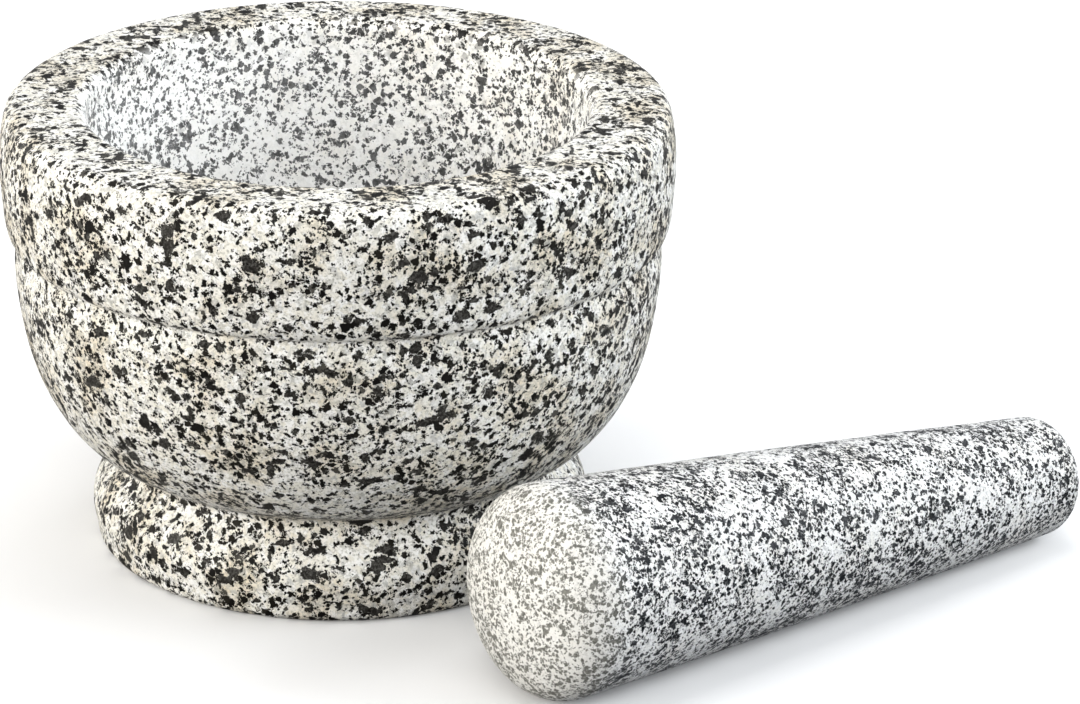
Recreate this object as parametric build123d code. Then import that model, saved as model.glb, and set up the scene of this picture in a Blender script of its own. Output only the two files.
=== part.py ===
from build123d import *
import math
import os

# Granite mortar with its loose pestle lying beside it.
# Millimetres, +Z up. The origin is the centre of the mortar's foot on the
# standing surface. The mortar is one turned stone (cavity, rim band, waist and
# foot are all cut from it), the pestle is a second turned stone.

# ---- mortar, driving dimensions ------------------------------------------
MORTAR_HEIGHT = 102.4        # standing surface to the flat of the rim
RIM_BAND_RADIUS = 75.0       # widest point of the raised band
RIM_BAND_TOP_RADIUS = 74.2   # band radius where its top edge starts to round
RIM_OUTER_ROUND = 4.2        # top outer edge
RIM_INNER_ROUND = 3.0        # lip into the cavity
CAVITY_MOUTH_RADIUS = 55.7   # cavity radius just under the lip
CAVITY_FLOOR_Z = 30.5        # underside thickness below the cavity

STEP_Z = 72.2                # where the bowl wall turns out into the band
STEP_RADIUS = 71.45
STEP_LEAN = -0.1             # the wall draws in by this per millimetre there
COVE_ROUND = 0.75            # inner round of the step
STEP_UNDERSIDE = 24.25       # how far the band's underside rises outwards, degrees
BAND_LOWER_ROUND = 3.45      # roll of the band's lower edge
BAND_LEAN = 0.144            # the band leans out by this per millimetre above it

WAIST_Z = 21.0               # filleted crease between bowl and foot
WAIST_RADIUS = 50.0
WAIST_LOWER_ROUND = 4.0      # hollow into the foot
WAIST_UPPER_ROUND = 2.1      # hollow into the bowl
WAIST_LOWER_SLOPE = 35.0     # foot's lean where the hollow starts, degrees
WAIST_UPPER_SLOPE = 59.6     # bowl's lean where the hollow ends, degrees
FOOT_EDGE_ROUND = 2.5
FOOT_BASE_RADIUS = 52.7      # flat the mortar stands on

# foot ring between its lower edge and the waist, outside (radius, height)
FOOT_OUTSIDE = [
    (55.9, 6.4),
    (56.1, 8.6),
    (55.4, 12.2),
    (53.3, 15.8),
]

# bowl wall between the waist and the step, outside (radius, height)
BOWL_OUTSIDE = [
    (54.1, 24.5),
    (57.6, 26.7),
    (61.1, 30.2),
    (65.8, 37.3),
    (69.0, 45.2),
    (71.0, 54.0),
    (72.05, 62.5),
    (72.05, 68.5),
]

# side of the band, from its lower roll to its shoulder
BAND_OUTSIDE = [
    (74.19, 77.0),
    (74.42, 79.3),
    (74.62, 81.6),
    (74.83, 85.0),
    (RIM_BAND_RADIUS, 89.0),
    (74.8, 94.0),
]

# cavity wall under the mouth, inside (radius, height)
CAVITY_INSIDE = [
    (54.9, 90.0),
    (53.1, 78.0),
    (49.7, 65.0),
    (44.0, 53.0),
    (35.8, 42.8),
    (24.6, 35.2),
    (12.0, 31.4),
]

# ---- pestle, driving dimensions ------------------------------------------
PESTLE_HEAD_RADIUS = 23.4    # shoulder of the pounding end
PESTLE_GRIP_RADIUS = 13.7    # shoulder of the thin end
PESTLE_TAPER_LENGTH = 138.6  # between the two shoulders
PESTLE_HEAD_DOME = 12.7      # how far the pounding end bulges past its shoulder
PESTLE_GRIP_DOME = 8.0
PESTLE_BARREL = 0.3          # slight fullness of the taper at mid length
HEAD_DOME_POWER = 2.4        # blunt, nearly flat-faced end
GRIP_DOME_POWER = 2.0        # round end

# how it lies on the surface beside the foot
PESTLE_HEAD_X = 44.7
PESTLE_HEAD_Y = -90.0
PESTLE_HEADING = 36.0        # degrees from +X towards +Y, head to grip


def step_points():
    # end of the cove, and of the roll that follows it tangentially
    start = math.degrees(math.atan(-STEP_LEAN))
    cx = STEP_RADIUS + COVE_ROUND * math.cos(math.radians(start))
    cz = STEP_Z + COVE_ROUND * math.sin(math.radians(start))
    a = math.radians(90 + STEP_UNDERSIDE)
    cove = (cx + COVE_ROUND * math.cos(a), cz + COVE_ROUND * math.sin(a))
    lo = math.radians(STEP_UNDERSIDE - 90)
    hi = -math.atan(BAND_LEAN)
    roll = (cove[0] + BAND_LOWER_ROUND * (math.cos(hi) - math.cos(lo)),
            cove[1] + BAND_LOWER_ROUND * (math.sin(hi) - math.sin(lo)))
    return cove, roll


def mortar_bowl():
    top = MORTAR_HEIGHT
    ro, ri = RIM_OUTER_ROUND, RIM_INNER_ROUND
    eb = FOOT_EDGE_ROUND
    foot_side_r = FOOT_BASE_RADIUS + eb
    cove_end, roll_end = step_points()
    low, high = math.radians(WAIST_LOWER_SLOPE), math.radians(WAIST_UPPER_SLOPE)
    waist_low = (WAIST_RADIUS + WAIST_LOWER_ROUND * (1 - math.cos(low)),
                 WAIST_Z - WAIST_LOWER_ROUND * math.sin(low))
    waist_high = (WAIST_RADIUS + WAIST_UPPER_ROUND * (1 - math.cos(high)),
                  WAIST_Z + WAIST_UPPER_ROUND * math.sin(high))
    with BuildPart() as part:
        with BuildSketch(Plane.XZ):
            with BuildLine():
                # underside and the rounded edge of the foot
                Line((0, 0), (FOOT_BASE_RADIUS, 0))
                RadiusArc((FOOT_BASE_RADIUS, 0), (foot_side_r, eb), -eb)
                # foot ring, over its bulge and into the waist
                Spline(
                    (foot_side_r, eb),
                    *FOOT_OUTSIDE,
                    waist_low,
                    tangents=[(0, 1), (-math.sin(low), math.cos(low))],
                )
                RadiusArc(waist_low, (WAIST_RADIUS, WAIST_Z), WAIST_LOWER_ROUND)
                RadiusArc((WAIST_RADIUS, WAIST_Z), waist_high, WAIST_UPPER_ROUND)
                # bowl, up to the step
                Spline(
                    waist_high,
                    *BOWL_OUTSIDE,
                    (STEP_RADIUS, STEP_Z),
                    tangents=[(math.sin(high), math.cos(high)), (STEP_LEAN, 1)],
                )
                # cove, and the rolled lower edge of the band
                RadiusArc((STEP_RADIUS, STEP_Z), cove_end, COVE_ROUND)
                RadiusArc(cove_end, roll_end, -BAND_LOWER_ROUND)
                # band, leaning out to its widest line
                Spline(
                    roll_end,
                    *BAND_OUTSIDE,
                    (RIM_BAND_TOP_RADIUS, top - ro),
                    tangents=[(BAND_LEAN, 1), (-0.16, 1)],
                )
                # rounded shoulder, flat rim, rounded lip
                Spline(
                    (RIM_BAND_TOP_RADIUS, top - ro),
                    (RIM_BAND_TOP_RADIUS - ro * (1 - math.cos(math.pi / 4)),
                     top - ro + ro * math.sin(math.pi / 4)),
                    (RIM_BAND_TOP_RADIUS - ro, top),
                    tangents=[(-0.2, 1), (-1, 0)],
                )
                Line((RIM_BAND_TOP_RADIUS - ro, top),
                     (CAVITY_MOUTH_RADIUS + ri, top))
                RadiusArc((CAVITY_MOUTH_RADIUS + ri, top),
                          (CAVITY_MOUTH_RADIUS, top - ri), -ri)
                # cavity
                Spline(
                    (CAVITY_MOUTH_RADIUS, top - ri),
                    *CAVITY_INSIDE,
                    (0, CAVITY_FLOOR_Z),
                    tangents=[(0, -1), (-1, 0)],
                )
                Line((0, CAVITY_FLOOR_Z), (0, 0))
            make_face()
        revolve(axis=Axis.Z)
    return part.part


def dome(radius, height, power, n=7):
    # superellipse quarter from the shoulder to the pole
    pts = []
    for k in range(n + 1):
        a = math.pi / 2 * k / n
        pts.append((radius * max(0.0, math.cos(a)) ** (2 / power),
                    height * math.sin(a) ** (2 / power)))
    return pts


def pestle():
    head = dome(PESTLE_HEAD_RADIUS, PESTLE_HEAD_DOME, HEAD_DOME_POWER)
    grip = dome(PESTLE_GRIP_RADIUS, PESTLE_GRIP_DOME, GRIP_DOME_POWER)
    length = PESTLE_TAPER_LENGTH
    lean = (PESTLE_HEAD_RADIUS - PESTLE_GRIP_RADIUS) / length
    fullness = 4 * PESTLE_BARREL / length
    with BuildPart() as part:
        with BuildSketch(Plane.XZ):
            with BuildLine():
                Spline(*[(r, -h) for r, h in head[::-1]],
                       tangents=[(1, 0), (-lean + fullness, 1)])
                Spline(
                    (PESTLE_HEAD_RADIUS, 0),
                    ((PESTLE_HEAD_RADIUS + PESTLE_GRIP_RADIUS) / 2
                     + PESTLE_BARREL, length / 2),
                    (PESTLE_GRIP_RADIUS, length),
                    tangents=[(-lean + fullness, 1), (-lean - fullness, 1)],
                )
                Spline(*[(r, length + h) for r, h in grip],
                       tangents=[(-lean - fullness, 1), (-1, 0)])
                Line((0, length + PESTLE_GRIP_DOME), (0, -PESTLE_HEAD_DOME))
            make_face()
        revolve(axis=Axis.Z)
    body = part.part
    # lay it down: local +Z (head to grip) runs along the heading, tipped so
    # that the taper's lowest line touches the surface
    tip = math.degrees(math.atan(lean))
    body = Rot(0, 90, 0) * body
    body = Rot(0, tip, 0) * body
    body = Rot(0, 0, PESTLE_HEADING) * body
    body = Pos(PESTLE_HEAD_X, PESTLE_HEAD_Y, 0) * body
    low = body.bounding_box().min.Z
    return Pos(0, 0, -low) * body


os.makedirs("parts", exist_ok=True)

for name, shape, colour in (
    ("mortar_bowl", mortar_bowl(), Color(0.78, 0.77, 0.74)),
    ("pestle", pestle(), Color(0.80, 0.80, 0.78)),
):
    shape.label = name
    shape.color = colour
    export_step(shape, os.path.join("parts", name + ".step"))
    box = shape.bounding_box()
    print(name, "valid", shape.is_valid, "volume cm3", round(shape.volume / 1000, 1),
          "min", [round(v, 2) for v in (box.min.X, box.min.Y, box.min.Z)],
          "max", [round(v, 2) for v in (box.max.X, box.max.Y, box.max.Z)])
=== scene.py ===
import math

import bmesh
import bpy
import numpy as np
from mathutils import Matrix, Vector, noise


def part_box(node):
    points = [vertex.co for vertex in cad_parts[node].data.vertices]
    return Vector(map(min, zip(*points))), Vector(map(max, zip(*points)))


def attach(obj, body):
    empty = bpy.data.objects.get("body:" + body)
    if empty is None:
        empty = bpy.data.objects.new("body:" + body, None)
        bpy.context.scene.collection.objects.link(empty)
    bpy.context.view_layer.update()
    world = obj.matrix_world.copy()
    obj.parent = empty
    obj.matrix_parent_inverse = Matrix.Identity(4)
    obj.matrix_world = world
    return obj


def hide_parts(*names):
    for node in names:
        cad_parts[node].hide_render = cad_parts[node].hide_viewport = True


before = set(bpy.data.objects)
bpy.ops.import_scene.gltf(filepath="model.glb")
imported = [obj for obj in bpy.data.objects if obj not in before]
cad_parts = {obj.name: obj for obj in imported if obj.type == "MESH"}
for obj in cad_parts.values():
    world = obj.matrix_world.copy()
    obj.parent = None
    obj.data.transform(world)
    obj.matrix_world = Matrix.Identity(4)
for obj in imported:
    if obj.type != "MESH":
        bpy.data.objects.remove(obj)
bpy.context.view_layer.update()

MM = 0.001
scene = bpy.context.scene

# ---------------------------------------------------------------------------
# Camera: the photograph's viewing angle, a long lens from a little above
# ---------------------------------------------------------------------------
CAM_DISTANCE = 1.0866
CAM_ELEVATION = math.radians(21.413)
CAM_AIM_Z = 0.050
CAM_YAW, CAM_PITCH, CAM_ROLL = 0.04148, -0.00712, 0.01072
LENS_PX = 4824.0

eye = Vector((0.0, -CAM_DISTANCE * math.cos(CAM_ELEVATION),
              CAM_AIM_Z + CAM_DISTANCE * math.sin(CAM_ELEVATION)))
forward = Vector((0.0, math.cos(CAM_ELEVATION), -math.sin(CAM_ELEVATION)))
right = Vector((1.0, 0.0, 0.0))
up = right.cross(forward)
forward = (forward + right * math.tan(CAM_YAW) + up * math.tan(CAM_PITCH)).normalized()
right = forward.cross(Vector((0, 0, 1))).normalized()
up = right.cross(forward)
c, s = math.cos(CAM_ROLL), math.sin(CAM_ROLL)
cam_x = right * c + up * s
cam_y = up * c - right * s
cam_data = bpy.data.cameras.new("camera")
cam_data.sensor_width = 36.0
cam_data.lens = LENS_PX * 36.0 / 1080.0
cam_data.clip_start = 0.01
cam_data.clip_end = 50.0
cam = bpy.data.objects.new("camera", cam_data)
scene.collection.objects.link(cam)
cam.matrix_world = Matrix((
    (cam_x.x, cam_y.x, -forward.x, eye.x),
    (cam_x.y, cam_y.y, -forward.y, eye.y),
    (cam_x.z, cam_y.z, -forward.z, eye.z),
    (0, 0, 0, 1),
))
scene.camera = cam


# ---------------------------------------------------------------------------
# Curves and lathe
# ---------------------------------------------------------------------------
def spline(points, start=None, end=None, n=40):
    """Smooth C2 curve through points, chord-length spacing, unit end tangents."""
    p = np.array(points, float)
    t = np.concatenate([[0], np.cumsum(np.linalg.norm(np.diff(p, axis=0), axis=1))])
    m = len(p)
    h = np.diff(t)
    A = np.zeros((m, m))
    B = np.zeros((m, 2))
    for i in range(1, m - 1):
        A[i, i - 1] = h[i]
        A[i, i] = 2 * (h[i - 1] + h[i])
        A[i, i + 1] = h[i - 1]
        B[i] = 3 * (h[i] * (p[i] - p[i - 1]) / h[i - 1]
                    + h[i - 1] * (p[i + 1] - p[i]) / h[i])
    for row, tan in ((0, start), (m - 1, end)):
        if tan is not None:
            v = np.array(tan, float)
            A[row, row] = 1
            B[row] = v / np.linalg.norm(v)
        elif row == 0:
            A[0, 0], A[0, 1] = 2, 1
            B[0] = 3 * (p[1] - p[0]) / h[0]
        else:
            A[-1, -1], A[-1, -2] = 2, 1
            B[-1] = 3 * (p[-1] - p[-2]) / h[-1]
    d = np.linalg.solve(A, B)
    out = []
    for i in range(m - 1):
        k = max(2, int(round(n * h[i] / t[-1])) + 1)
        u = np.linspace(0, 1, k, endpoint=False)[:, None]
        h00, h10 = 2 * u**3 - 3 * u**2 + 1, u**3 - 2 * u**2 + u
        h01, h11 = -2 * u**3 + 3 * u**2, u**3 - u**2
        out.append(h00 * p[i] + h10 * h[i] * d[i] + h01 * p[i + 1] + h11 * h[i] * d[i + 1])
    out.append(p[-1:])
    return np.vstack(out)


def arc(centre, r, a0, a1, n=10):
    a = np.radians(np.linspace(a0, a1, n))
    return np.stack([centre[0] + r * np.cos(a), centre[1] + r * np.sin(a)], 1)


def resample(curve, step_of):
    """Even out a polyline; step_of(r, z) gives the wanted spacing there in mm."""
    seg = np.linalg.norm(np.diff(curve, axis=0), axis=1)
    keep = np.concatenate([[True], seg > 1e-6])
    curve = curve[keep]
    seg = np.linalg.norm(np.diff(curve, axis=0), axis=1)
    at = np.concatenate([[0], np.cumsum(seg)])
    dens = np.array([1.0 / step_of(r, z) for r, z in (curve[1:] + curve[:-1]) / 2])
    cum = np.concatenate([[0], np.cumsum(dens * seg)])
    n = int(round(cum[-1]))
    want = np.interp(np.linspace(0, cum[-1], n + 1), cum, at)
    return np.stack([np.interp(want, at, curve[:, 0]), np.interp(want, at, curve[:, 1])], 1)


def lathe(name, curve, segments, move=None, uv_weight=None):
    """Closed surface of revolution about local Z from a curve that starts and ends on
    the axis. move(point, normal, r, z, angle) gives the offset along the normal, mm."""
    n = len(curve)
    tang = np.gradient(curve, axis=0)
    tang /= np.linalg.norm(tang, axis=1)[:, None]
    nr, nz = tang[:, 1], -tang[:, 0]
    verts, faces = [], []
    verts.append((0, 0, curve[0, 1]))
    for i in range(1, n - 1):
        r, z = curve[i]
        for j in range(segments):
            a = 2 * math.pi * j / segments
            ca, sa = math.cos(a), math.sin(a)
            off = move(r, z, a, nr[i], nz[i]) if move else 0.0
            rr, zz = r + off * nr[i], z + off * nz[i]
            verts.append((rr * ca, rr * sa, zz))
    verts.append((0, 0, curve[-1, 1]))
    last = len(verts) - 1

    def idx(i, j):
        return 1 + (i - 1) * segments + j % segments

    for j in range(segments):
        faces.append((0, idx(1, j + 1), idx(1, j)))
    for i in range(1, n - 2):
        for j in range(segments):
            faces.append((idx(i, j), idx(i, j + 1), idx(i + 1, j + 1), idx(i + 1, j)))
    for j in range(segments):
        faces.append((last, idx(n - 2, j), idx(n - 2, j + 1)))
    mesh = bpy.data.meshes.new(name)
    mesh.from_pydata([(x * MM, y * MM, z * MM) for x, y, z in verts], [], faces)
    # unrolled map: angle across, distance along the profile upwards
    seg = np.linalg.norm(np.diff(curve, axis=0), axis=1)
    mid = (curve[1:] + curve[:-1]) / 2
    w = np.array([uv_weight(r, z) if uv_weight else 1.0 for r, z in mid])
    v = np.concatenate([[0], np.cumsum(seg * w)])
    v /= v[-1]
    layer = mesh.uv_layers.new(name="OFBake")
    uvs = []
    for f in faces:
        if f[0] in (0, last) and len(f) == 3:
            k = 1 if f[0] == 0 else n - 2
            js = [(q - 1) % segments for q in f[1:]]
            if abs(js[0] - js[1]) > 1:
                js = [q if q else segments for q in js]
            uvs.append((sum(js) / 2 / segments, v[0] if f[0] == 0 else v[-1]))
            uvs += [(q / segments, v[k]) for q in js]
        else:
            i = (f[0] - 1) // segments + 1
            j = (f[0] - 1) % segments
            uvs += [(j / segments, v[i]), ((j + 1) / segments, v[i]),
                    ((j + 1) / segments, v[i + 1]), (j / segments, v[i + 1])]
    layer.data.foreach_set("uv", np.array(uvs, np.float32).ravel() * 0.996 + 0.002)
    mesh.polygons.foreach_set("use_smooth", [True] * len(faces))
    mesh.update()
    obj = bpy.data.objects.new(name, mesh)
    scene.collection.objects.link(obj)
    return obj


# ---------------------------------------------------------------------------
# Mortar: one turned stone
# ---------------------------------------------------------------------------
TOP = 102.4
mortar_curve = np.vstack([
    [(0, 0), (20, 0), (40, 0), (50, 0)],
    arc((52.7, 2.5), 2.5, -90, 0, 11)[:-1],
    spline([(55.2, 2.5), (55.9, 6.4), (56.1, 8.6), (55.4, 12.2), (53.3, 15.8),
            (50.7234, 18.7057)], (0, 1), (-0.5736, 0.8192), 60)[:-1],
    arc((54.0, 21.0), 4.0, 215, 180, 10)[:-1],
    arc((52.1, 21.0), 2.1, 180, 120.4, 12)[:-1],
    spline([(51.0373, 22.8113), (54.1, 24.5), (57.6, 26.7), (61.1, 30.2), (65.8, 37.3),
            (69.0, 45.2), (71.0, 54.0), (72.05, 62.5), (72.05, 68.5), (71.45, 72.2)],
           (0.8625, 0.5060), (-0.1, 1), 170)[:-1],
    arc((72.1963, 72.2746), 0.75, 185.71, 114.25, 8)[:-1],
    arc((70.4714, 76.1038), 3.4498, -65.75, -8.19, 16)[:-1],
    spline([(73.886, 75.612), (74.19, 77.0), (74.42, 79.3), (74.62, 81.6), (74.83, 85.0),
            (75.0, 89.0), (74.8, 94.0), (74.2, 98.2)], (0.144, 1), (-0.16, 1), 60)[:-1],
    spline([(74.2, 98.2), (74.2 - 4.2 * (1 - math.cos(math.pi / 4)),
                           98.2 + 4.2 * math.sin(math.pi / 4)), (70.0, 102.4)],
           (-0.16, 1), (-1, 0), 24)[:-1],
    [(70.0, TOP), (66, TOP), (62, TOP)],
    arc((58.7, 99.4), 3.0, 90, 180, 14)[:-1],
    spline([(55.7, 99.4), (54.9, 90.0), (53.1, 78.0), (49.7, 65.0), (44.0, 53.0),
            (35.8, 42.8), (24.6, 35.2), (12.0, 31.4), (0, 30.5)],
           (0, -1), (-1, 0), 200),
])


def mortar_step(r, z):
    if z < 0.01:
        return 4.0
    if r > 50 and z < 4:
        return 0.55
    if r > 46 and 17 < z < 24:
        return 0.6
    if r > 70 and 71.5 < z < 76.0:
        return 0.25
    if r > 55 and z > 96:
        return 0.65 if (r > 68 or r < 61) else 1.2
    return 1.35


def soft(x, lo, hi):
    t = min(1.0, max(0.0, (x - lo) / (hi - lo)))
    return t * t * (3 - 2 * t)


def mortar_wear(r, z, a, nr, nz):
    """Hand-finish of a turned stone: slow waviness, a slightly wandering groove and
    small chips on the arrises. Offsets in mm, never more than a few tenths outwards."""
    p = Vector((r * math.cos(a), r * math.sin(a), z))
    out = 0.10 * noise.noise(p * 0.035) + 0.05 * noise.noise(p * 0.11 + Vector((9, 4, 2)))
    if z < 1.0:
        out *= soft(z, 0.2, 1.0)
    chip = 0.0
    q = noise.noise(p * 0.42 + Vector((31, 7, 5)))
    if r > 72.2 and 73.0 < z < 76.2:                  # band's lower edge
        chip = max(0.0, q - 0.22) * 0.9 * (1 - abs(z - 74.6) / 1.6)
    elif r > 69 and z > 97.5:                         # rim's shoulder
        chip = max(0.0, q - 0.35) * 0.6
    elif r < 60.5 and z > 97:                         # lip
        chip = max(0.0, q - 0.33) * 0.7
    elif r > 53.5 and z < 3.2:                        # foot's lower edge
        chip = max(0.0, q - 0.25) * 0.9
    return min(0.18, out) - max(0.0, chip)


def mortar_uv(r, z):
    return 0.3 if z < 0.5 else 1.0


mortar = lathe("mortar_stone", resample(mortar_curve, mortar_step), 384, mortar_wear, mortar_uv)

# ---------------------------------------------------------------------------
# Pestle: a second turned stone, laid on its side
# ---------------------------------------------------------------------------
R1, R2, LEN, H1, H2, FULL = 23.4, 13.7, 138.6, 12.7, 8.0, 0.3
LEAN = (R1 - R2) / LEN
BULGE = 4 * FULL / LEN


def dome(radius, height, power, n=7):
    out = []
    for k in range(n + 1):
        t = math.pi / 2 * k / n
        out.append((radius * max(0.0, math.cos(t)) ** (2 / power),
                    height * math.sin(t) ** (2 / power)))
    return out


head = dome(R1, H1, 2.4)
grip = dome(R2, H2, 2.0)
pestle_curve = np.vstack([
    spline([(r, -h) for r, h in head[::-1]], (1, 0), (-LEAN + BULGE, 1), 60)[:-1],
    spline([(R1, 0), ((R1 + R2) / 2 + FULL, LEN / 2), (R2, LEN)],
           (-LEAN + BULGE, 1), (-LEAN - BULGE, 1), 120)[:-1],
    spline([(r, LEN + h) for r, h in grip], (-LEAN - BULGE, 1), (-1, 0), 40),
])


def pestle_wear(r, z, a, nr, nz):
    p = Vector((r * math.cos(a), r * math.sin(a), z))
    return (0.09 * noise.noise(p * 0.05 + Vector((3, 8, 1)))
            + 0.03 * noise.noise(p * 0.17 + Vector((5, 2, 7))) - 0.03)


pestle = lathe("pestle_stone", resample(pestle_curve, lambda r, z: 1.0), 168, pestle_wear)
tip = math.atan(LEAN)
turn = (Matrix.Rotation(math.radians(36.0), 4, "Z") @ Matrix.Rotation(tip, 4, "Y")
        @ Matrix.Rotation(math.pi / 2, 4, "Y"))
pestle.data.transform(turn)
low = min(v.co.z for v in pestle.data.vertices)
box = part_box("pestle")
lay = Matrix.Translation(Vector((44.7 * MM, -90.0 * MM, box[0][2] - low)))
pestle.data.transform(lay)
PESTLE_AXIS = (turn.to_3x3() @ Vector((0, 0, 1))).normalized()
PESTLE_HEAD = lay @ Vector((0, 0, 0))

for obj in (mortar, pestle):
    bm = bmesh.new()
    bm.from_mesh(obj.data)
    bmesh.ops.recalc_face_normals(bm, faces=bm.faces)
    bm.to_mesh(obj.data)
    bm.free()


# ---------------------------------------------------------------------------
# Granite
# ---------------------------------------------------------------------------
class Nodes:
    def __init__(self, name):
        self.mat = bpy.data.materials.new(name)
        self.mat.use_nodes = True
        self.tree = self.mat.node_tree
        self.tree.nodes.clear()

    def add(self, kind, **props):
        node = self.tree.nodes.new(kind)
        for k, v in props.items():
            setattr(node, k, v)
        return node

    def put(self, socket, value):
        if isinstance(value, bpy.types.NodeSocket):
            self.tree.links.new(value, socket)
        elif value is not None:
            socket.default_value = value

    def math(self, op, a, b=None, c=None, clamp=False):
        n = self.add("ShaderNodeMath", operation=op, use_clamp=clamp)
        for i, v in enumerate((a, b, c)):
            self.put(n.inputs[i], v)
        return n.outputs[0]

    def vec(self, op, a, b=None, scale=None):
        n = self.add("ShaderNodeVectorMath", operation=op)
        self.put(n.inputs[0], a)
        if b is not None:
            self.put(n.inputs[1], b)
        if scale is not None:
            self.put(n.inputs["Scale"], scale)
        return n.outputs["Value"] if op in ("LENGTH", "DOT_PRODUCT", "DISTANCE") else n.outputs[0]

    def noise(self, co, scale, detail=2.0, rough=0.5, colour=False, distortion=0.0):
        n = self.add("ShaderNodeTexNoise", noise_dimensions="3D")
        self.put(n.inputs["Vector"], co)
        n.inputs["Scale"].default_value = scale
        n.inputs["Detail"].default_value = detail
        n.inputs["Roughness"].default_value = rough
        n.inputs["Distortion"].default_value = distortion
        return n.outputs["Color" if colour else "Fac"]

    def voronoi(self, co, scale, feature="F1", metric="EUCLIDEAN", randomness=1.0):
        n = self.add("ShaderNodeTexVoronoi", voronoi_dimensions="3D", feature=feature)
        if feature != "DISTANCE_TO_EDGE":
            n.distance = metric
        self.put(n.inputs["Vector"], co)
        n.inputs["Scale"].default_value = scale
        n.inputs["Randomness"].default_value = randomness
        return n

    def split(self, colour):
        n = self.add("ShaderNodeSeparateColor")
        self.put(n.inputs[0], colour)
        return n.outputs

    def step(self, x, lo, hi, smooth=True):
        n = self.add("ShaderNodeMapRange", interpolation_type="SMOOTHSTEP" if smooth else "LINEAR")
        n.clamp = True if not smooth else n.clamp
        self.put(n.inputs["Value"], x)
        self.put(n.inputs["From Min"], lo)
        self.put(n.inputs["From Max"], hi)
        n.inputs["To Min"].default_value = 0.0
        n.inputs["To Max"].default_value = 1.0
        return n.outputs["Result"]

    def mix(self, fac, a, b, kind="MIX"):
        n = self.add("ShaderNodeMix", data_type="RGBA", blend_type=kind)
        self.put(n.inputs["Factor"], fac)
        ins = [i for i in n.inputs if i.type == "RGBA"]
        for sock, v in zip(ins, (a, b)):
            self.put(sock, (*v, 1.0) if isinstance(v, tuple) and len(v) == 3 else v)
        return [o for o in n.outputs if o.type == "RGBA"][0]

    def mixf(self, fac, a, b):
        n = self.add("ShaderNodeMix", data_type="FLOAT")
        self.put(n.inputs["Factor"], fac)
        ins = [i for i in n.inputs if i.type == "VALUE" and i.name in ("A", "B")]
        self.put(ins[0], a)
        self.put(ins[1], b)
        return [o for o in n.outputs if o.type == "VALUE"][0]

    def add3(self, a, b):
        return self.vec("ADD", a, b)


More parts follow.
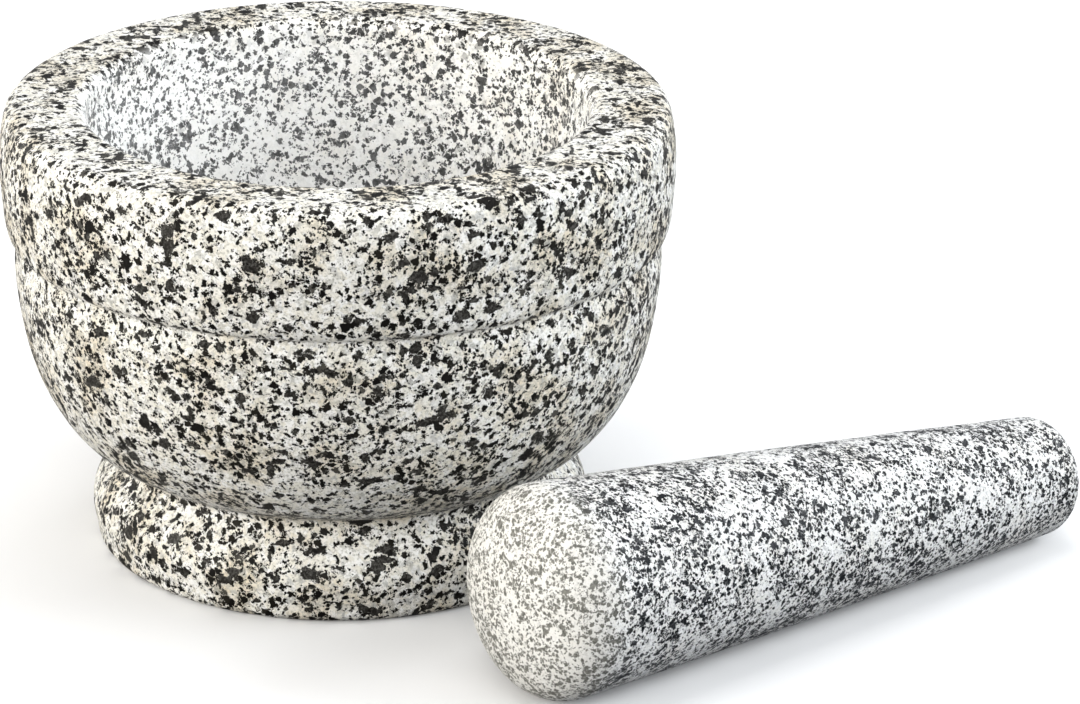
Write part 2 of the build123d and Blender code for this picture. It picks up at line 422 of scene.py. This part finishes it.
def granite(name, p, pale_mask_of):
    """Solid granite in object space, so the grain runs through edges and grooves.
    p holds grain sizes in mm, the shares of dark mica and the tints. The last argument gives a mask, 1 where the
    surface is made pale: by grinding wear, and in the mortar's cavity partly as painted light; there the big grains
    show less."""
    g = Nodes(name)
    k = p["grain"]
    pale_mask = pale_mask_of(g)
    co = g.add("ShaderNodeTexCoord").outputs["Object"]
    mm = g.vec("SCALE", co, scale=1000.0)
    mm = g.add3(mm, p["offset"])
    # ragged grain outlines
    w1 = g.vec("SUBTRACT", g.noise(mm, 0.62 / k, 1.0, 0.5, True), (0.5, 0.5, 0.5))
    w2 = g.vec("SUBTRACT", g.noise(mm, 2.1 / k, 2.0, 0.70, True), (0.5, 0.5, 0.5))
    ragged = g.add3(g.add3(mm, g.vec("SCALE", w1, scale=1.5 * k)),
                    g.vec("SCALE", w2, scale=1.35 * k))
    # where mica gathers: broad drifts, and knots a few grains wide
    crowd = g.math("ADD", g.math("SUBTRACT", g.noise(mm, p["crowd_scale"], 2.0, 0.55), 0.5),
                   g.math("MULTIPLY", g.math("SUBTRACT", g.noise(g.add3(mm, (33.0, 5.0, 60.0)),
                          p["knot_scale"], 1.0, 0.5), 0.5), p["knot"]))
    crowd = g.math("MULTIPLY", crowd, g.math("MULTIPLY_ADD", pale_mask, -0.55, 1.0))

    def flecks(source, size, share, pull, shrink, squash=None, blocky=False):
        """Grains of one size: a share of the cells is mica, each shrunk by its own
        amount so that neighbours stay apart. Blocky grains are little tilted boxes,
        as mica books are. Returns mask, tone and the distance used."""
        v = source
        if squash is not None:
            m = g.add("ShaderNodeMapping", vector_type="POINT")
            g.put(m.inputs["Vector"], source)
            m.inputs["Rotation"].default_value = squash[0]
            m.inputs["Scale"].default_value = squash[1]
            v = m.outputs[0]
        cell = g.voronoi(v, 1.0 / size, metric="CHEBYCHEV" if blocky else "EUCLIDEAN")
        rnd = g.split(cell.outputs["Color"])
        bar = g.math("MULTIPLY_ADD", crowd, pull, share)
        pick = g.math("LESS_THAN", rnd[0], bar)
        if not blocky:
            edge = g.voronoi(v, 1.0 / size, "DISTANCE_TO_EDGE").outputs["Distance"]
            gap = g.math("MULTIPLY", rnd[2], shrink)
            body = g.step(g.math("SUBTRACT", edge, gap), 0.0, p["soft"] / size)
        else:
            edge = cell.outputs["Distance"]
            reach = g.math("MULTIPLY_ADD", rnd[2], shrink, 0.16)
            body = g.step(g.math("SUBTRACT", reach, edge), 0.0, p["soft"] / size)
        return g.math("MULTIPLY", pick, body), rnd[1], edge

    coarse, tone_a, _ = flecks(ragged, p["coarse"], p["share_a"], p["pull_a"], 0.14)
    medium, tone_b, seam = flecks(g.add3(ragged, (17.3, 4.1, 9.7)), p["medium"],
                                  p["share_b"], p["pull_b"], 0.11)
    fine, tone_c, _ = flecks(g.add3(ragged, (3.9, 21.7, 6.3)), p["fine"],
                             p["share_c"], p["pull_c"], 0.12)
    blocks, tone_k, _ = flecks(g.add3(ragged, (51.0, 13.0, 27.0)), p["block"], p["share_k"],
                               p["pull_b"], 0.34, ((0.9, -0.4, 0.7), (1.0, 0.72, 0.85)), True)
    tiny, tone_t, _ = flecks(g.add3(mm, g.add3(g.vec("SCALE", w2, scale=0.5 * k), (7.0, 70.0, 50.0))),
                             p["tiny"], p["share_t"], p["pull_t"], 0.36,
                             ((0.4, 0.8, -0.5), (1.0, 0.8, 1.0)), True)
    laths, tone_d, _ = flecks(g.add3(ragged, (8.8, 2.2, 31.0)), p["lath"], p["share_d"], 0.08,
                              0.42, ((0.5, 0.9, 0.3), (1.0, 0.36, 0.9)), True)
    laths2, tone_e, _ = flecks(g.add3(ragged, (1.8, 12.2, 3.0)), p["lath"], p["share_d"], 0.08,
                               0.42, ((-0.7, 0.2, -0.9), (0.36, 1.0, 0.9)), True)
    # where the mask makes the stone pale most of the big grains are gone from sight; in the mortar's cavity that
    # paling is partly painted light
    def thin(mask, tone, hold):
        return g.math("MULTIPLY", mask, g.math("MULTIPLY_ADD", g.math("MULTIPLY", pale_mask,
                      g.step(tone, hold, hold + 0.05)), -1.0, 1.0))

    coarse = thin(coarse, tone_a, 0.15)
    blocks = thin(blocks, tone_k, 0.45)
    laths = thin(laths, tone_d, 0.35)
    laths2 = thin(laths2, tone_e, 0.35)
    big = g.math("MAXIMUM", coarse, g.math("MAXIMUM", laths, laths2))
    dark = g.math("MAXIMUM", g.math("MAXIMUM", big, g.math("MAXIMUM", medium, blocks)),
                  g.math("MAXIMUM", fine, tiny))
    # one tone per fleck: black, brown-black or a paler grey mica
    tone = g.mixf(coarse, g.mixf(medium, g.mixf(blocks, tone_c, tone_k), tone_b), tone_a)
    mica = g.mix(g.step(tone, 0.15, 0.85), p["mica_black"], p["mica_brown"])
    mica = g.mix(g.math("MULTIPLY", g.step(tone, 1.0 - p["grey_share"], 1.0), 0.9), mica, p["mica_grey"])
    # painted glint: paler grey streaks painted into the mica books as if they caught the light, most of all in the
    # big grains
    streak = g.add("ShaderNodeMapping", vector_type="POINT")
    g.put(streak.inputs["Vector"], ragged)
    streak.inputs["Rotation"].default_value = (0.6, 0.4, 0.9)
    streak.inputs["Scale"].default_value = (1.0, 0.28, 0.8)
    painted_glint_streaks = g.noise(streak.outputs[0], 2.2, 2.0, 0.7)
    mica_with_painted_glint = g.mix(g.math("MULTIPLY", g.step(painted_glint_streaks, 0.44, 0.66), p["painted_glint_streaks"]), p["mica_book"], p["painted_glint_grey"])
    mica = g.mix(g.math("MULTIPLY", big, g.step(tone, 0.0, 0.6)), mica, mica_with_painted_glint)

    # feldspar and quartz ground: broad tint, grains, then fine translucent mottle
    ground = g.voronoi(g.add3(ragged, (40.0, 11.0, 23.0)), 1.0 / p["ground"])
    gr = g.split(ground.outputs["Color"])
    patch = g.noise(mm, p["tint_scale"], 2.0, 0.5)
    base = g.mix(g.step(gr[0], 0.10, 0.90), p["white"], p["cream"])
    tint = g.math("MULTIPLY", g.step(patch, 0.45, 0.66), g.mixf(gr[1], 0.35, 1.0))
    base = g.mix(g.math("MULTIPLY", tint, p["tint_amount"]), base, p["tint"])
    veil = g.noise(g.add3(mm, (5.0, 60.0, 7.0)), 0.62 / k, 3.0, 0.68)
    quartz = g.math("MULTIPLY", g.step(gr[2], 1.0 - p["quartz_share"], 1.0), g.step(veil, 0.30, 0.62))
    base = g.mix(g.math("MULTIPLY", quartz, p["quartz_amount"]), base, p["quartz"])
    mottle = g.noise(g.add3(mm, (71.0, 3.0, 13.0)), 1.25 / k, 3.0, 0.72)
    base = g.mix(g.math("MULTIPLY", g.step(mottle, 0.46, 0.68), p["mottle"]), base, p["shade"])
    # ground darkens close to where mica crowds
    halo = g.math("MULTIPLY", g.step(crowd, -0.02, 0.20), g.step(veil, 0.42, 0.60))
    base = g.mix(g.math("MULTIPLY", halo, p["halo"]), base, p["shade"])
    return g, mm, pale_mask, dark, mica, base, gr, seam


def finish_stone(g, mm, seam, colour, dark, gr, p):
    bsdf = g.add("ShaderNodeBsdfPrincipled")
    out = g.add("ShaderNodeOutputMaterial")
    g.put(out.inputs["Surface"], bsdf.outputs[0])
    g.put(bsdf.inputs["Base Color"], colour)
    smear = g.noise(mm, 0.09, 2.0, 0.5)
    micro = g.noise(mm, 2.6, 3.0, 0.7)
    rough = g.mixf(dark, g.mixf(gr[2], p["rough_lo"], p["rough_hi"]), p["rough_mica"])
    rough = g.math("ADD", rough, g.math("MULTIPLY_ADD", micro, 0.22, -0.11))
    rough = g.math("ADD", rough, g.math("MULTIPLY_ADD", smear, 0.16, -0.08), clamp=True)
    g.put(bsdf.inputs["Roughness"], rough)
    bsdf.inputs["Specular IOR Level"].default_value = 0.12
    # surface: grain boundaries, tiny pits and the soft mica sitting a little low
    seam = g.step(seam, 0.0, 0.09)
    pit = g.step(g.noise(g.add3(mm, (2.0, 90.0, 4.0)), 1.15, 2.0, 0.6), 0.60, 0.74)
    height = g.math("MULTIPLY", seam, 0.35)
    height = g.math("SUBTRACT", height, g.math("MULTIPLY", pit, p["pit"]))
    height = g.math("SUBTRACT", height, g.math("MULTIPLY", dark, 0.30))
    height = g.math("ADD", height, g.math("MULTIPLY", micro, 0.55))
    bump = g.add("ShaderNodeBump")
    bump.inputs["Strength"].default_value = p["bump"]
    bump.inputs["Distance"].default_value = 0.00012
    g.put(bump.inputs["Height"], height)
    g.put(bsdf.inputs["Normal"], bump.outputs[0])
    return g.mat


MORTAR = dict(
    offset=(120.0, 45.0, 10.0), grain=0.80, crowd_scale=0.085, knot_scale=0.32, knot=0.40,
    soft=0.03, coarse=2.9, medium=1.45, block=1.75, fine=0.90, tiny=0.60, lath=1.9, ground=1.3,
    share_a=0.060, pull_a=0.30, share_b=0.195, pull_b=0.55, share_k=0.205,
    share_c=0.26, pull_c=0.55, share_t=0.17, pull_t=0.5, share_d=0.092,
    mica_black=(0.0035, 0.0028, 0.0020), mica_brown=(0.013, 0.011, 0.008),
    # painted glint: the last value on the next line is how strongly the glint streaks show, the second colour on the
    # line after it is their grey
    mica_grey=(0.082, 0.077, 0.066), grey_share=0.12, painted_glint_streaks=0.85,
    mica_book=(0.017, 0.0155, 0.013), painted_glint_grey=(0.105, 0.101, 0.092),
    white=(0.90, 0.893, 0.868), cream=(0.81, 0.783, 0.70), tint=(0.75, 0.65, 0.48),
    tint_scale=0.085, tint_amount=0.72,
    quartz=(0.42, 0.42, 0.40), quartz_share=0.36, quartz_amount=0.85,
    shade=(0.26, 0.25, 0.20), mottle=0.62, halo=0.45,
    rough_lo=0.48, rough_hi=0.62, rough_mica=0.42, pit=0.5, bump=0.35,
)
PESTLE = dict(
    offset=(-60.0, 210.0, 33.0), grain=0.46, crowd_scale=0.12, knot_scale=0.45, knot=0.6,
    soft=0.025, coarse=1.5, medium=0.86, block=1.1, fine=0.62, tiny=0.42, lath=1.15, ground=0.85,
    share_a=0.062, pull_a=0.40, share_b=0.245, pull_b=0.85, share_k=0.245,
    share_c=0.29, pull_c=0.85, share_t=0.20, pull_t=0.6, share_d=0.090,
    mica_black=(0.002, 0.003, 0.005), mica_brown=(0.012, 0.012, 0.012),
    # painted glint: the last value on the next line is how strongly the glint streaks show, the second colour on the
    # line after it is their grey
    mica_grey=(0.10, 0.105, 0.11), grey_share=0.18, painted_glint_streaks=0.85,
    mica_book=(0.013, 0.014, 0.016), painted_glint_grey=(0.108, 0.112, 0.118),
    white=(0.88, 0.88, 0.88), cream=(0.82, 0.815, 0.79), tint=(0.76, 0.71, 0.61),
    tint_scale=0.09, tint_amount=0.28,
    quartz=(0.44, 0.45, 0.46), quartz_share=0.34, quartz_amount=0.80,
    shade=(0.30, 0.30, 0.29), mottle=0.55, halo=0.42,
    rough_lo=0.48, rough_hi=0.62, rough_mica=0.42, pit=0.5, bump=0.35,
)


# mask of the cavity's paling: partly grinding wear, partly painted light
def cavity_wear_and_painted_light(g):
    co = g.add("ShaderNodeTexCoord").outputs["Object"]
    sep = g.add("ShaderNodeSeparateXYZ")
    g.put(sep.inputs[0], co)
    radius = g.vec("LENGTH", g.vec("MULTIPLY", co, (1.0, 1.0, 0.0)))
    ground = g.math("MULTIPLY", g.step(radius, 0.0585, 0.0545),
                    g.step(sep.outputs[2], 0.024, 0.029))
    # painted light: the left wall, which faces the light from the right, is made paler than the right wall
    return g.math("MULTIPLY", ground, g.mixf(g.step(sep.outputs[0], -0.030, 0.050), 1.0, 0.62))


def on_head(g):
    co = g.add("ShaderNodeTexCoord").outputs["Object"]
    along = g.vec("DOT_PRODUCT", g.vec("SUBTRACT", co, tuple(PESTLE_HEAD)), tuple(PESTLE_AXIS))
    return g.step(along, 0.004, -0.006)


# mortar: the cavity is paler and chalkier and its mica greyed, partly for grinding wear and stone dust, partly as
# painted light that whitens it as if brightly lit
g, mm, pale_mask, dark, mica, base, gr, seam = granite("granite_mortar", MORTAR, cavity_wear_and_painted_light)
dust = g.step(g.noise(g.add3(mm, (12.0, 6.0, 44.0)), 0.9, 3.0, 0.7), 0.36, 0.64)
# mica greyed in the cavity: stone dust, and painted light wherever the mask carries it
mica = g.mix(g.math("MULTIPLY", g.math("MULTIPLY", pale_mask, pale_mask), g.mixf(dust, 0.30, 0.90)), mica, (0.22, 0.222, 0.225))
# paler ground in the cavity: grinding wear and painted light together
base = g.mix(g.math("MULTIPLY", pale_mask, 0.78), base, (0.955, 0.955, 0.95))
colour = g.mix(dark, base, mica)
mortar.data.materials.append(finish_stone(g, mm, seam, colour, dark, gr, MORTAR))

# pestle: the pounding end is worn paler, with a duller, finer fleck
g, mm, pale_mask, dark, mica, base, gr, seam = granite("granite_pestle", PESTLE, on_head)
dust = g.step(g.noise(g.add3(mm, (12.0, 6.0, 44.0)), 1.6, 3.0, 0.7), 0.36, 0.64)
mica = g.mix(g.math("MULTIPLY", pale_mask, g.mixf(dust, 0.45, 0.98)), mica, (0.255, 0.25, 0.22))
base = g.mix(g.math("MULTIPLY", pale_mask, 0.55), base, (0.80, 0.78, 0.725))
colour = g.mix(dark, base, mica)
pestle.data.materials.append(finish_stone(g, mm, seam, colour, dark, gr, PESTLE))

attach(mortar, "mortar")
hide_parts("mortar_bowl")
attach(pestle, "pestle")
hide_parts("pestle")

# ---------------------------------------------------------------------------
# Floor and light
# ---------------------------------------------------------------------------
floor_mesh = bpy.data.meshes.new("floor")
ring = [(1.6 * math.cos(a), 1.6 * math.sin(a), 0.0) for a in np.linspace(0, 2 * math.pi, 97)[:-1]]
floor_mesh.from_pydata(ring, [], [tuple(range(96))])
floor = bpy.data.objects.new("floor", floor_mesh)
scene.collection.objects.link(floor)
f = Nodes("floor")
fb = f.add("ShaderNodeBsdfPrincipled")
fo = f.add("ShaderNodeOutputMaterial")
f.put(fo.inputs[0], fb.outputs[0])
path = f.add("ShaderNodeLightPath")
# seen directly it is white; what it bounces back into the stones is that of a mid grey
bounce = f.math("MAXIMUM", path.outputs["Is Diffuse Ray"], path.outputs["Is Glossy Ray"])
f.put(fb.inputs["Base Color"], f.mix(bounce, (0.95, 0.95, 0.95), (0.20, 0.205, 0.215)))
fb.inputs["Roughness"].default_value = 0.9
fb.inputs["Specular IOR Level"].default_value = 0.2
floor_mesh.materials.append(f.mat)

world = bpy.data.worlds.new("studio")
world.use_nodes = True
# soft, cool surround; seen directly it is the same pale white as the floor
wt = world.node_tree
bg = wt.nodes["Background"]
bg.inputs[0].default_value = (0.93, 0.96, 1.0, 1)
bg.inputs[1].default_value = 0.40
seen = wt.nodes.new("ShaderNodeBackground")
seen.inputs[0].default_value = (1.0, 1.0, 1.0, 1)
seen.inputs[1].default_value = 0.97
ray = wt.nodes.new("ShaderNodeLightPath")
pick = wt.nodes.new("ShaderNodeMixShader")
wt.links.new(ray.outputs["Is Camera Ray"], pick.inputs[0])
wt.links.new(bg.outputs[0], pick.inputs[1])
wt.links.new(seen.outputs[0], pick.inputs[2])
wt.links.new(pick.outputs[0], wt.nodes["World Output"].inputs["Surface"])
scene.world = world


def softbox(name, at, aim, size, power, colour):
    data = bpy.data.lights.new(name, "AREA")
    data.shape = "RECTANGLE"
    data.size, data.size_y = size
    data.energy = power
    data.color = colour
    obj = bpy.data.objects.new(name, data)
    scene.collection.objects.link(obj)
    obj.location = at
    obj.rotation_euler = (Vector(aim) - Vector(at)).to_track_quat("-Z", "Y").to_euler()
    return obj


softbox("key_top", (-0.10, 0.15, 1.5), (0.03, 0.0, 0.0), (1.3, 1.1), 9.0, (1.0, 0.99, 0.985))
softbox("key_left", (-1.50, -0.40, 0.42), (0.0, 0.0, 0.05), (1.0, 0.8), 21.8, (1.0, 0.955, 0.88))
softbox("fill_right", (1.50, -0.15, 0.72), (0.05, 0.0, 0.05), (1.0, 0.9), 22.0, (0.92, 0.96, 1.0))
softbox("back_left", (-1.20, 1.20, 0.48), (0.0, 0.0, 0.05), (1.0, 0.8), 5.5, (1.0, 0.98, 0.95))
softbox("back_right", (1.20, 1.20, 0.48), (0.05, 0.0, 0.05), (1.0, 0.8), 6.0, (0.96, 0.98, 1.0))
softbox("fill_front", (-0.35, -1.85, 0.95), (0.0, 0.0, 0.04), (1.2, 1.0), 18.2, (1.0, 0.99, 0.97))

scene.view_settings.view_transform = "Standard"
scene.view_settings.look = "None"
scene.view_settings.exposure = 0.0
